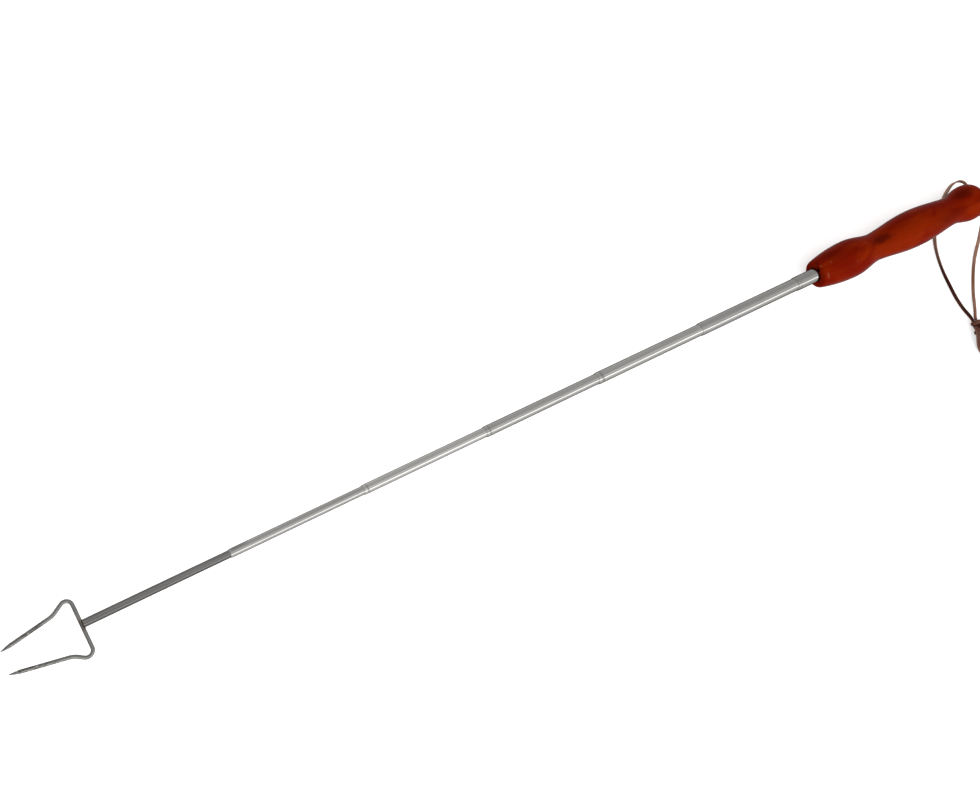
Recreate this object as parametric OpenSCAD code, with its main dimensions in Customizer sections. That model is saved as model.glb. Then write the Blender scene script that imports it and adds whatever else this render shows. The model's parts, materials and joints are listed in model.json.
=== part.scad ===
// Telescopic roasting stick: a turned wooden handle, an outer tube fixed in it,
// six tubes that slide in one another, and a two-pronged fork of bent wire.
// The stick lies along X, pulled out to its full length, with the fork at -X.
// The ground is z = 0, and the origin is the middle of the stick on the ground.

/* [Tubes] */
// Outside diameter of the thinnest tube, which carries the fork
fork_tube_d = 5; // [4:0.5:7]
// Diameter step from one tube to the next
tube_step = 1; // [0.9:0.05:1.3]
// Wall of every tube
tube_wall = 0.3; // [0.2:0.05:0.3]
// Length of each sliding tube that shows when it is pulled out
exposed_l = 96; // [60:1:110]
// Length of the outer tube beyond that, which keeps the tubes in line
overlap_l = 20; // [12:1:26]
// Outer tube that stands out of the handle
stub_l = 22; // [12:1:45]
// How far each pushed-in tube stands out of the next one's mouth
mouth_step = 3; // [1:0.5:6]

/* [Tube mouths] */
// Length over which a mouth is rolled in
neck_l = 2.4; // [1.6:0.1:4]
// Straight part of the rolled mouth that guides the next tube
neck_guide_l = 1.2; // [0.6:0.1:1.5]
// Thickness of the rolled lip
lip_t = 0.12; // [0.08:0.01:0.2]
// Distance of the ring groove behind the rolled mouth
groove_at = 0.9; // [0.5:0.1:3]
// Width of the ring groove
groove_w = 0.6; // [0.3:0.1:1]
// Depth of the ring groove
groove_depth = 0.08; // [0.04:0.01:0.12]

/* [Stop bushes] */
// Length of the split brass bush at the inner end of a sliding tube
bush_l = 6; // [3:0.5:8]
// Width of the split along the bush
bush_split = 1; // [0.6:0.1:2]
// Depth of the seat that the bush snaps into
bush_seat = 0.05; // [0.03:0.01:0.1]

/* [Fork] */
// Diameter of the fork wire
wire_d = 2.5; // [2:0.1:3.2]
// Width across the shoulders, between the middles of the wire
shoulder_w = 35.6; // [28:0.2:50]
// Bend radius of the shoulders
shoulder_bend_r = 3.6; // [2.5:0.1:5]
// Angle at which the wire runs in from a shoulder
shoulder_angle = 33; // [20:1:40]
// Distance of the knee from the crossbar
knee_at = 11.8; // [10:0.2:16]
// Bend radius of the knee
knee_bend_r = 12; // [8:0.5:15]
// Distance of the points from the crossbar
fork_reach = 47.8; // [40:0.2:80]
// Gap between the points, between the middles of the wire
point_gap = 13.8; // [6:0.2:20]
// Length of the ground point of a prong
point_l = 6.6; // [3:0.2:12]
// Diameter of the blunt end of a point
point_d = 0.3; // [0.2:0.1:1]
// How far the middle of the crossbar lies to one side of the tube
fork_offset = 1.2; // [0:0.1:2]
// How deep the crossbar sits in the end of the tube
saddle_depth = 0.25; // [0.1:0.05:0.6]

/* [Weld] */
// Length of the weld behind the end of the tube
weld_back_l = 0.9; // [0.5:0.1:2]
// Thickness of the weld outside the tube
weld_t = 0.35; // [0.2:0.05:0.8]
// Length of the weld inside the tube
weld_plug_l = 1.2; // [0.6:0.1:3]

/* [Handle] */
// Length of the handle
handle_l = 188; // [170:1:230]
// Radius of the front end before its edge is eased
face_r = 11.2; // [9:0.1:13]
// Radius of the eased front edge
face_edge_r = 2.2; // [1:0.1:3]
// Radius of the front swell
front_swell_r = 15.2; // [13:0.1:18]
// Distance of the front swell from the front end
front_swell_at = 36; // [28:1:42]
// Radius of the front waist
front_waist_r = 11.3; // [10:0.1:12.5]
// Distance of the front waist from the front end
front_waist_at = 63; // [56:1:72]
// Radius of the palm swell
palm_swell_r = 15.2; // [13:0.1:18]
// Distance of the palm swell from the front end
palm_swell_at = 108; // [98:1:118]
// Radius of the rear waist
rear_waist_r = 11.7; // [10:0.1:12.5]
// Distance of the rear waist from the front end
rear_waist_at = 150; // [142:1:154]
// Radius of the ball at the butt
ball_r = 15.1; // [13:0.1:17]
// Distance from the middle of the ball to the butt
ball_end_l = 16.5; // [14:0.5:18]

/* [Handle bores] */
// Length of the eased edge of the socket's mouth
mouth_ease_l = 1.5; // [0.5:0.1:3]
// Widening of the socket's mouth at the face
mouth_ease_w = 0.8; // [0.3:0.1:1.5]
// Diameter of the cross hole for the lace
lace_hole_d = 4; // [3.8:0.1:6]
// Distance of the cross hole from the butt
lace_hole_from_butt = 7; // [6:0.5:12]

/* [Lanyard] */
// Width of the leather lace
lace_w = 3; // [2:0.1:3.2]
// Thickness of the leather lace
lace_t = 1.4; // [1:0.1:1.6]
// Radius of the knot
knot_r = 4.8; // [4:0.1:6]
// Length of the knot
knot_l = 15; // [12:0.5:20]
// Number of turns of lace that show round the knot
knot_turns = 3; // [2:1:4]
// Depth of the valleys between the turns
knot_valley = 0.9; // [0.4:0.1:1.4]

/* [Clearances] */
// Radial running gap between a rolled mouth and the tube in it
neck_gap = 0.05; // [0.03:0.01:0.06]
// Radial running gap between a bush and the tube round it
bush_gap = 0.05; // [0.03:0.01:0.06]
// Gap left between a bush and the mouth that stops it
stop_gap = 0.1; // [0.05:0.05:0.5]
// Gap behind the pushed-in tubes
end_gap = 0.3; // [0.2:0.1:1]
// Glue line round the outer tube
glue_gap = 0.05; // [0.03:0.01:0.1]

/* [Hidden] */
$fn = 72;

wood = [0.44, 0.10, 0.03];
steel = [0.62, 0.61, 0.59];
dark_steel = [0.45, 0.44, 0.42];
brass = [0.78, 0.62, 0.30];
leather = [0.42, 0.26, 0.20];

// Tubes are numbered from the handle: 0 is the outer tube, 6 carries the fork
last = 6;
eps = 0.01;
function tube_r(k) = (fork_tube_d + (last - k) * tube_step) / 2;
function bore_r(k) = tube_r(k) - tube_wall;
socket_l = exposed_l + overlap_l - stub_l;
function tube_l(k) = exposed_l + overlap_l + (k == 0 ? 0 : k * mouth_step - end_gap);

// Places along the stick, from the middle of its length
crossbar_ahead = wire_d / 2 - saddle_depth;
overall_l = fork_reach + crossbar_ahead + last * exposed_l + stub_l + handle_l;
face_x = overall_l / 2 - handle_l;
function mouth_x(k) = face_x - stub_l - k * exposed_l;
crossbar_x = mouth_x(last) - crossbar_ahead;

// The swells and the ball are what the handle lies on
axis_z = max(front_swell_r, palm_swell_r, ball_r);

// Turns an outline of [radius, distance] points about the stick's axis
module turned(outline) {
    translate([0, 0, axis_z])
        rotate([0, 90, 0])
            rotate_extrude()
                polygon(outline);
}

// Raised cosine from one radius to another, fuller at the swell when below 1
function ease(t, fullness) = pow((1 - cos(180 * t)) / 2, fullness);
steps = 12;
function waist_to_swell(waist, swell, fullness) = [
    for (i = [0 : steps - 1])
        let (t = i / steps)
        [waist[1] + (swell[1] - waist[1]) * ease(t, fullness),
         waist[0] + (swell[0] - waist[0]) * t]
];
function swell_to_waist(swell, waist, fullness) = [
    for (i = [0 : steps - 1])
        let (t = 1 - i / steps)
        [waist[1] + (swell[1] - waist[1]) * ease(t, fullness),
         waist[0] + (swell[0] - waist[0]) * t]
];

// Front end: a flat face with an eased edge, then a long rise to the swell
edge_steps = 6;
function nose() = concat(
    [[0, 0]],
    [for (i = [0 : edge_steps])
        let (a = 90 * i / edge_steps)
        [face_r - face_edge_r * (1 - sin(a)), face_edge_r * (1 - cos(a))]],
    [for (i = [1 : steps - 1])
        let (t = i / steps)
        [face_r + (front_swell_r - face_r) * pow(sin(90 * t), 0.85),
         face_edge_r + (front_swell_at - face_edge_r) * t]]
);
// Butt: a ball a little longer than round
ball_at = handle_l - ball_end_l;
ball_power = 2.2;
function butt() = [
    for (i = [0 : steps])
        let (a = 90 * i / steps)
        [ball_r * pow(cos(a), 2 / ball_power), ball_at + ball_end_l * pow(sin(a), 2 / ball_power)]
];
front_swell = [front_swell_at, front_swell_r];
front_waist = [front_waist_at, front_waist_r];
palm_swell = [palm_swell_at, palm_swell_r];
rear_waist = [rear_waist_at, rear_waist_r];
ball = [ball_at, ball_r];
handle_outline = concat(
    nose(),
    swell_to_waist(front_swell, front_waist, 0.85),
    waist_to_swell(front_waist, palm_swell, 0.75),
    swell_to_waist(palm_swell, rear_waist, 0.65),
    waist_to_swell(rear_waist, ball, 1.05),
    butt()
);

module handle_grip() {
    socket_r = tube_r(0) + glue_gap;
    color(wood)
        translate([face_x, 0, 0])
            difference() {
                turned(handle_outline);
                translate([0, 0, axis_z])
                    rotate([0, 90, 0]) {
                        translate([0, 0, -eps])
                            cylinder(r = socket_r, h = socket_l + eps);
                        translate([0, 0, -eps])
                            cylinder(
                                r1 = socket_r + mouth_ease_w, r2 = socket_r,
                                h = mouth_ease_l
                            );
                    }
                translate([handle_l - lace_hole_from_butt, 0, axis_z])
                    rotate([90, 0, 0])
                        cylinder(d = lace_hole_d, h = 4 * ball_r, center = true);
            }
}

// Mouth of a tube: the wall is rolled in to guide the next tube
function mouth_outline(k) =
    let (
        guide_r = tube_r(k + 1) + neck_gap,
        lip_r = guide_r + lip_t,
        groove_x = neck_l + groove_at,
        turns = 6
    )
    concat(
        [[bore_r(k), neck_l], [guide_r, neck_guide_l], [guide_r, 0]],
        [for (i = [0 : turns])
            let (a = 90 * i / turns)
            [lip_r + (tube_r(k) - lip_r) * sin(a), neck_l * (1 - cos(a))]],
        [
            [tube_r(k), groove_x],
            [tube_r(k) - groove_depth, groove_x + groove_w / 4],
            [tube_r(k) - groove_depth, groove_x + groove_w * 3 / 4],
            [tube_r(k), groove_x + groove_w]
        ]
    );

// Place of a bush on its tube, just inside the mouth of the next larger tube
bush_at = exposed_l + neck_l + stop_gap;
function bush_seat_outline(k) = [
    [tube_r(k), bush_at],
    [tube_r(k) - bush_seat, bush_at],
    [tube_r(k) - bush_seat, bush_at + bush_l],
    [tube_r(k), bush_at + bush_l]
];
function tube_end_outline(k) = [[tube_r(k), tube_l(k)], [bore_r(k), tube_l(k)]];

module outer_tube() {
    color(steel)
        translate([mouth_x(0), 0, 0])
            turned(concat(mouth_outline(0), tube_end_outline(0)));
}

module sliding_tube(k) {
    color(steel)
        translate([mouth_x(k), 0, 0])
            turned(concat(mouth_outline(k), bush_seat_outline(k), tube_end_outline(k)));
}

// The thinnest tube has no mouth: its end is hollowed to take the crossbar
module fork_tube() {
    color(dark_steel)
        difference() {
            translate([mouth_x(last), 0, 0])
                turned(concat(
                    [[bore_r(last), 0], [tube_r(last), 0]],
                    bush_seat_outline(last),
                    tube_end_outline(last)
                ));
            crossbar();
        }
}

module stop_bush(k) {
    inner_r = tube_r(k) - bush_seat;
    outer_r = bore_r(k - 1) - bush_gap;
    color(brass)
        translate([mouth_x(k) + bush_at, 0, axis_z])
            difference() {
                rotate([0, 90, 0])
                    difference() {
                        cylinder(r = outer_r, h = bush_l);
                        translate([0, 0, -eps])
                            cylinder(r = inner_r, h = bush_l + 2 * eps);
                    }
                translate([-eps, -bush_split / 2, 0])
                    cube([bush_l + 2 * eps, bush_split, outer_r + eps]);
            }
}

// Fork: the wire is drawn piece by piece, each one starting where the last ends.
// A bend is a hair thicker than the wire, and a straight laps into it.
wire_lap = 0.05;
bend_swell = 0.02;
module wire_straight(l) {
    translate([-wire_lap, 0, 0])
        rotate([0, 90, 0])
            cylinder(d = wire_d, h = l + 2 * wire_lap);
    translate([l, 0, 0])
        children();
}
module wire_bend(r, turn, side) {
    translate([0, side * r, 0])
        rotate([0, 0, side > 0 ? -90 : 90 - turn])
            rotate_extrude(angle = turn)
                translate([r, 0])
                    circle(d = wire_d + 2 * bend_swell);
    translate([r * sin(turn), side * r * (1 - cos(turn)), 0])
        rotate([0, 0, side * turn])
            children();
}
module wire_prong(l) {
    rotate([0, 90, 0])
        rotate_extrude()
            polygon([
                [0, -wire_lap],
                [wire_d / 2, -wire_lap],
                [wire_d / 2, l],
                [point_d / 2, l + point_l],
                [0, l + point_l]
            ]);
}

// Corner where the two straight stretches of a prong would meet
bend_end_ahead = shoulder_bend_r * (1 + sin(shoulder_angle));
bend_end_side = shoulder_w / 2 - shoulder_bend_r * (1 - cos(shoulder_angle));
knee_side = bend_end_side - tan(shoulder_angle) * (knee_at - bend_end_ahead);
prong_angle = atan((knee_side - point_gap / 2) / (fork_reach - knee_at));
knee_turn = shoulder_angle - prong_angle;
knee_tangent = knee_bend_r * tan(knee_turn / 2);
shoulder_run = (knee_at - bend_end_ahead) / cos(shoulder_angle) - knee_tangent;
prong_run = (fork_reach - knee_at) / cos(prong_angle) - knee_tangent - point_l;
half_crossbar = shoulder_w / 2 - shoulder_bend_r;

module half_fork() {
    translate([0, half_crossbar, 0])
        rotate([0, 0, 90])
            wire_bend(shoulder_bend_r, 90 + shoulder_angle, 1)
                wire_straight(shoulder_run)
                    wire_bend(knee_bend_r, knee_turn, -1)
                        wire_prong(prong_run);
}

module crossbar() {
    translate([crossbar_x, -fork_offset, axis_z])
        rotate([90, 0, 0])
            cylinder(d = wire_d, h = 2 * (half_crossbar + wire_lap), center = true);
}

module fork_wire() {
    color(dark_steel) {
        crossbar();
        translate([crossbar_x, -fork_offset, axis_z]) {
            half_fork();
            mirror([0, 1, 0])
                half_fork();
        }
    }
}

// Weld: a bead round the end of the tube that holds the wire and closes the bore
module fork_weld() {
    r = tube_r(last);
    ahead = crossbar_ahead;
    color(dark_steel)
        difference() {
            translate([mouth_x(last), 0, 0])
                turned([
                    [0, -ahead],
                    [r * 0.6, -ahead],
                    [r, -ahead / 2],
                    [r + weld_t, 0],
                    [r + weld_t * 0.8, weld_back_l / 2],
                    [r, weld_back_l],
                    [r, 0],
                    [bore_r(last), 0],
                    [bore_r(last), weld_plug_l],
                    [0, weld_plug_l]
                ]);
            crossbar();
        }
}

// Lanyard routes: [from the handle's front end, to the side, up from the ground,
// tilt of the flat of the lace in degrees], chosen by hand
front_route = [
    [181, -12, 15.2, 90], [181, -6, 15.2, 90], [181, 0, 15.2, 90], [181, 6, 15.2, 90],
    [181, 12, 15.2, 90], [180.6, 15.5, 14.6, 90], [179.2, 18.3, 12.6, 90],
    [176.8, 19.2, 9.6, 85], [174, 18.4, 6.6, 70], [170.8, 16, 4, 45],
    [166.6, 12.6, 2, 15], [161, 8, 1, 0], [154, 2, 0.7, 0], [147, -4.6, 0.7, 0],
    [141, -11, 1.1, 20], [136.4, -18, 1.6, 65], [133.4, -26, 1.6, 85],
    [131.4, -35, 1.6, 90], [130.4, -45, 1.6, 80], [130.4, -56, 1.6, 60],
    [131, -67, 1.4, 45], [132, -77, 2.2, 35], [133, -84, 3.6, 20], [133.2, -88, 4.6, 10],
    [133.2, -90.5, 4.8, 0]
];
rear_route = [
    [181, -12, 15.2, 90], [181, -14.5, 15.2, 90], [180.8, -18, 14.2, 85],
    [180.2, -22.5, 11.4, 70], [179, -27.6, 7.8, 50], [177, -33, 4.4, 30],
    [173.6, -38.6, 1.8, 10], [168.6, -44.6, 0.8, 0], [162.4, -52, 0.7, 0],
    [156.4, -60.6, 0.7, 0], [150.6, -70, 0.8, 0], [145.4, -78.6, 1.8, 0],
    [140.4, -84.6, 3.6, 0], [137.4, -88, 4.6, 0], [137, -90.5, 4.8, 0]
];
left_tail_route = [
    [133.2, -105.5, 4.8, 0], [133.2, -108, 4.4, 0], [132.4, -112, 3, 10],
    [131.2, -117, 1.4, 15], [130.4, -124, 0.8, 0], [130.6, -132, 0.7, 0],
    [132, -140, 0.7, 0], [134.6, -148, 0.7, 0]
];
right_tail_route = [
    [137, -105.5, 4.8, 0], [137, -108, 4.3, 0], [137.8, -112, 2.8, 0],
    [139.4, -117, 1.3, 0], [142, -123, 0.7, 0], [145.6, -129.6, 0.7, 0],
    [150.4, -136, 0.7, 0], [156, -141.6, 0.7, 0]
];

// Ring of eight points round a route point: a flat lace with eased edges
function unit(v) = v / norm(v);
function place(p) = [p[0], p[1], p[2]];
function heading(route, i) = unit(
    place(route[min(i + 1, len(route) - 1)]) - place(route[max(i - 1, 0)])
);
function lace_ring(route, i) =
    let (
        ahead = heading(route, i),
        flat_side = unit(cross(ahead, [0, 0, 1])),
        flat_up = cross(flat_side, ahead),
        tilt = route[i][3],
        across = flat_side * cos(tilt) + flat_up * sin(tilt),
        through = flat_up * cos(tilt) - flat_side * sin(tilt),
        w = lace_w / 2,
        t = lace_t / 2,
        c = lace_t / 4
    )
    [for (q = [
        [w, t - c], [w - c, t], [c - w, t], [-w, t - c],
        [-w, c - t], [c - w, -t], [w - c, -t], [w, c - t]
    ]) place(route[i]) + across * q[0] + through * q[1]];

module lace(route) {
    sides = 8;
    rings = len(route);
    points = [for (i = [0 : rings - 1]) each lace_ring(route, i)];
    walls = [
        for (i = [0 : rings - 2], j = [0 : sides - 1])
            let (
                a = i * sides + j,
                b = i * sides + (j + 1) % sides
            )
            each [[a, b, b + sides], [a, b + sides, a + sides]]
    ];
    start_cap = [[for (j = [sides - 1 : -1 : 0]) j]];
    end_cap = [[for (j = [0 : sides - 1]) (rings - 1) * sides + j]];
    color(leather)
        translate([face_x, 0, 0])
            polyhedron(points = points, faces = concat(walls, start_cap, end_cap));
}

// Knot: turns of lace side by side, with a valley between each two
knot_start = front_route[len(front_route) - 1];
knot_x = (knot_start[0] + rear_route[len(rear_route) - 1][0]) / 2;
module lanyard_knot() {
    turn_steps = 8;
    end_r = knot_r - knot_valley;
    turn_l = knot_l / knot_turns;
    color(leather)
        translate([face_x + knot_x, knot_start[1], knot_start[2]])
            rotate([90, 0, 0])
                rotate_extrude()
                    polygon(concat(
                        [[0, 0]],
                        [for (i = [0 : knot_turns * turn_steps])
                            let (a = 180 * (i / turn_steps))
                            [end_r + knot_valley * abs(sin(a)), turn_l * i / turn_steps]],
                        [[0, knot_l]]
                    ));
}

handle_grip();
outer_tube();
sliding_tube(1);  // sliding_tube_1
sliding_tube(2);  // sliding_tube_2
sliding_tube(3);  // sliding_tube_3
sliding_tube(4);  // sliding_tube_4
sliding_tube(5);  // sliding_tube_5
fork_tube();  // sliding_tube_6
stop_bush(1);  // stop_bush_1
stop_bush(2);  // stop_bush_2
stop_bush(3);  // stop_bush_3
stop_bush(4);  // stop_bush_4
stop_bush(5);  // stop_bush_5
stop_bush(6);  // stop_bush_6
fork_wire();
fork_weld();
lace(front_route);  // lanyard_front_strand
lace(rear_route);  // lanyard_rear_strand
lanyard_knot();
lace(left_tail_route);  // lanyard_tail_left
lace(right_tail_route);  // lanyard_tail_right
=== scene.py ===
"""Looks of a telescopic roasting stick: lacquered wood, drawn steel tubes, a wire fork and a leather lace.

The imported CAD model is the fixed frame. Lengths are in metres, in the row frame: the stick lies along X
with its fork at -X, the ground is z = 0. Each sub-assembly is a class that models its pieces with
Blender's own operators, dresses them and puts them on their bodies.
"""

from __future__ import annotations

import json
import logging
import math
from dataclasses import dataclass, field
from enum import Enum
from typing import Any, Iterable, Mapping, Sequence

import bmesh
import bpy
from mathutils import Matrix, Quaternion, Vector, noise

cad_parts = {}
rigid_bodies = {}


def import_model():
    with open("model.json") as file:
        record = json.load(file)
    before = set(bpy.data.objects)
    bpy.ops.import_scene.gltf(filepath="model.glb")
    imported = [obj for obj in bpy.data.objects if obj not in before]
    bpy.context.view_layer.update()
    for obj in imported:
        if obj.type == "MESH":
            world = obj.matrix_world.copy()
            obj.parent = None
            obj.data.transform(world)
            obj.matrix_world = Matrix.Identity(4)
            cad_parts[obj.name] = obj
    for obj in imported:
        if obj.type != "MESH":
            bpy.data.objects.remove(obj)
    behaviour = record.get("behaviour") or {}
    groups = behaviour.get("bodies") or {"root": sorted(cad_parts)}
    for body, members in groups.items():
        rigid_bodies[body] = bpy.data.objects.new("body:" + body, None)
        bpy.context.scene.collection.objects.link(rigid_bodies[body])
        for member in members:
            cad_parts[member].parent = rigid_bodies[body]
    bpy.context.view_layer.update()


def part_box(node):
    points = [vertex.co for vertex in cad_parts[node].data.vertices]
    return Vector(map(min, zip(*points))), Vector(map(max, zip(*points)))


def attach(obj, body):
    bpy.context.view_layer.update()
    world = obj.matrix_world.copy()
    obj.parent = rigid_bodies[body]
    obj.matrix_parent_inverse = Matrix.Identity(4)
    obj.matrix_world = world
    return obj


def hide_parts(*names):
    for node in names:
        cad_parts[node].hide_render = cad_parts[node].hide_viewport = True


LOG = logging.getLogger("roasting_stick")
BUSHES = 6
MM = 0.001
X_AXIS = Vector((1, 0, 0))
Y_AXIS = Vector((0, 1, 0))
Z_AXIS = Vector((0, 0, 1))
Colour = tuple[float, float, float]


class Socket:
    """One output of a shader node, so that shader maths reads as a Python expression."""

    def __init__(self, tree: "ShaderTree", link: bpy.types.NodeSocket) -> None:
        """Args:
        tree: the tree that the socket's node is in.
        link: the node's output socket.
        """
        self.tree = tree
        self.link = link

    def _math(self, operation: str, *values: "Socket | float") -> "Socket":
        """Adds a Math node.

        Args:
            operation: the node's operation.
            values: its inputs in order.

        Returns:
            The node's result.
        """
        return self.tree.node("ShaderNodeMath", {"operation": operation}, dict(enumerate(values)))

    def __add__(self, other: "Socket | float") -> "Socket":
        """The sum."""
        return self._math("ADD", self, other)

    __radd__ = __add__

    def __sub__(self, other: "Socket | float") -> "Socket":
        """The difference."""
        return self._math("SUBTRACT", self, other)

    def __rsub__(self, other: float) -> "Socket":
        """The difference from a number."""
        return self._math("SUBTRACT", other, self)

    def __mul__(self, other: "Socket | float") -> "Socket":
        """The product."""
        return self._math("MULTIPLY", self, other)

    __rmul__ = __mul__

    def __abs__(self) -> "Socket":
        """The size without its sign."""
        return self._math("ABSOLUTE", self)

    def ramp(self, low: float, high: float, start: float = 0.0, end: float = 1.0) -> "Socket":
        """A smooth, clamped rise.

        Args:
            low: the value where the rise begins.
            high: the value where it ends.
            start: the result below low.
            end: the result above high.

        Returns:
            The eased result.
        """
        return self.tree.node(
            "ShaderNodeMapRange",
            {"interpolation_type": "SMOOTHSTEP"},
            {0: self, 1: low, 2: high, 3: start, 4: end},
        )


@dataclass(frozen=True)
class Mark:
    """An oval mark in a surface: its middle, its half lengths and how strongly it shows."""

    centre: tuple[float, float, float]
    reach: tuple[float, float, float]
    strength: float
    raggedness: float = 0.9


class ShaderTree:
    """A node tree that is filled through one method."""

    def __init__(self, owner: bpy.types.Material | bpy.types.World) -> None:
        """Args:
        owner: the material or world whose nodes are replaced.
        """
        owner.use_nodes = True
        self.tree = owner.node_tree
        self.tree.nodes.clear()

    def node(
        self,
        kind: str,
        settings: Mapping[str, Any] | None = None,
        inputs: Mapping[int | str, Any] | None = None,
        output: int | str = 0,
    ) -> Socket:
        """Adds a node.

        Args:
            kind: the node's type.
            settings: its own settings, which are set first.
            inputs: values or sockets for its inputs, by index or name.
            output: which output is wanted.

        Returns:
            That output.
        """
        made = self.tree.nodes.new(kind)
        for name, value in (settings or {}).items():
            setattr(made, name, value)
        for key, value in (inputs or {}).items():
            if isinstance(value, Socket):
                self.tree.links.new(value.link, made.inputs[key])
            else:
                made.inputs[key].default_value = value
        return Socket(self, made.outputs[output] if made.outputs else None)

    def place(self, scale: Sequence[float] = (1, 1, 1), centre: Sequence[float] = (0, 0, 0)) -> Socket:
        """Args:
            scale: how many pattern units there are in a metre, along each axis.
            centre: the place that becomes the pattern's origin.

        Returns:
            Object coordinates, centred and scaled.
        """
        at = self.node("ShaderNodeTexCoord", output="Object")
        moved = self.node("ShaderNodeVectorMath", {"operation": "SUBTRACT"}, {0: at, 1: centre})
        return self.node("ShaderNodeVectorMath", {"operation": "MULTIPLY"}, {0: moved, 1: scale})

    def noise(
        self, scale: Sequence[float], detail: float = 3, roughness: float = 0.5, distortion: float = 0
    ) -> Socket:
        """Args:
            scale: noise cells in a metre, along each axis.
            detail: octaves.
            roughness: how strong the finer octaves are.
            distortion: how much the noise is warped.

        Returns:
            Noise around 0.5.
        """
        return self.node(
            "ShaderNodeTexNoise",
            {},
            {
                "Vector": self.place(scale),
                "Scale": 1,
                "Detail": detail,
                "Roughness": roughness,
                "Distortion": distortion,
            },
        )

    def spot(self, centre: Sequence[float], reach: Sequence[float]) -> Socket:
        """Args:
            centre: the middle of an oval spot, in the row frame.
            reach: its half length along each axis.

        Returns:
            0 at the middle, 1 on the oval's edge.
        """
        scaled = self.place([1 / r for r in reach], centre)
        return self.node("ShaderNodeVectorMath", {"operation": "LENGTH"}, {0: scaled}, "Value")

    def mix(self, factor: Socket | float, first: Any, second: Any) -> Socket:
        """Args:
            factor: 0 for the first colour, 1 for the second.
            first: a colour or a socket.
            second: a colour or a socket.

        Returns:
            The mixed colour.
        """
        colours = [c if isinstance(c, Socket) else (*c, 1) for c in (first, second)]
        return self.node(
            "ShaderNodeMix", {"data_type": "RGBA"}, {0: factor, 6: colours[0], 7: colours[1]}, 2
        )

    def marked(self, base: Socket, marks: Iterable[Mark], colour: Colour) -> Socket:
        """Lays oval marks over a colour.

        Args:
            base: the colour so far.
            marks: the marks.
            colour: their colour.

        Returns:
            The marked colour.
        """
        ragged = self.noise((180, 500, 500), 3, 0.6) - 0.5
        for mark in marks:
            near = self.spot(mark.centre, mark.reach) + ragged * mark.raggedness
            base = self.mix(near.ramp(0.35, 1.25, mark.strength, 0.0), base, colour)
        return base

    def bump(self, height: Socket, distance: float, strength: float = 1.0) -> Socket:
        """Args:
            height: the surface's height, from 0 to 1.
            distance: how many metres a height of 1 is.
            strength: how much of it shows.

        Returns:
            The bumped normal.
        """
        return self.node(
            "ShaderNodeBump", {}, {"Height": height, "Distance": distance, "Strength": strength}
        )

    def surface(self, **sockets: Any) -> None:
        """Ends the tree in a Principled shader.

        Args:
            sockets: values or links by socket name, with _ for a space.
        """
        values = {
            name.replace("_", " "): (*value, 1) if isinstance(value, tuple) else value
            for name, value in sockets.items()
        }
        shader = self.node("ShaderNodeBsdfPrincipled", {}, values)
        self.node("ShaderNodeOutputMaterial", {}, {"Surface": shader})


MATERIALS: dict["Finish", bpy.types.Material] = {}


class Finish:
    """What every finish has: a material that is made once and shared."""

    slot: str
    key: str

    def _dress(self, tree: ShaderTree) -> None:
        """Fills the material's nodes.

        Args:
            tree: the material's empty tree.
        """
        raise NotImplementedError

    def material(self) -> bpy.types.Material:
        """The finish's material, made when it is first asked for."""
        if self not in MATERIALS:
            made = bpy.data.materials.new(f"{self.slot}_{self.key}")
            MATERIALS[self] = made
            self._dress(ShaderTree(made))
        return MATERIALS[self]


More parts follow.
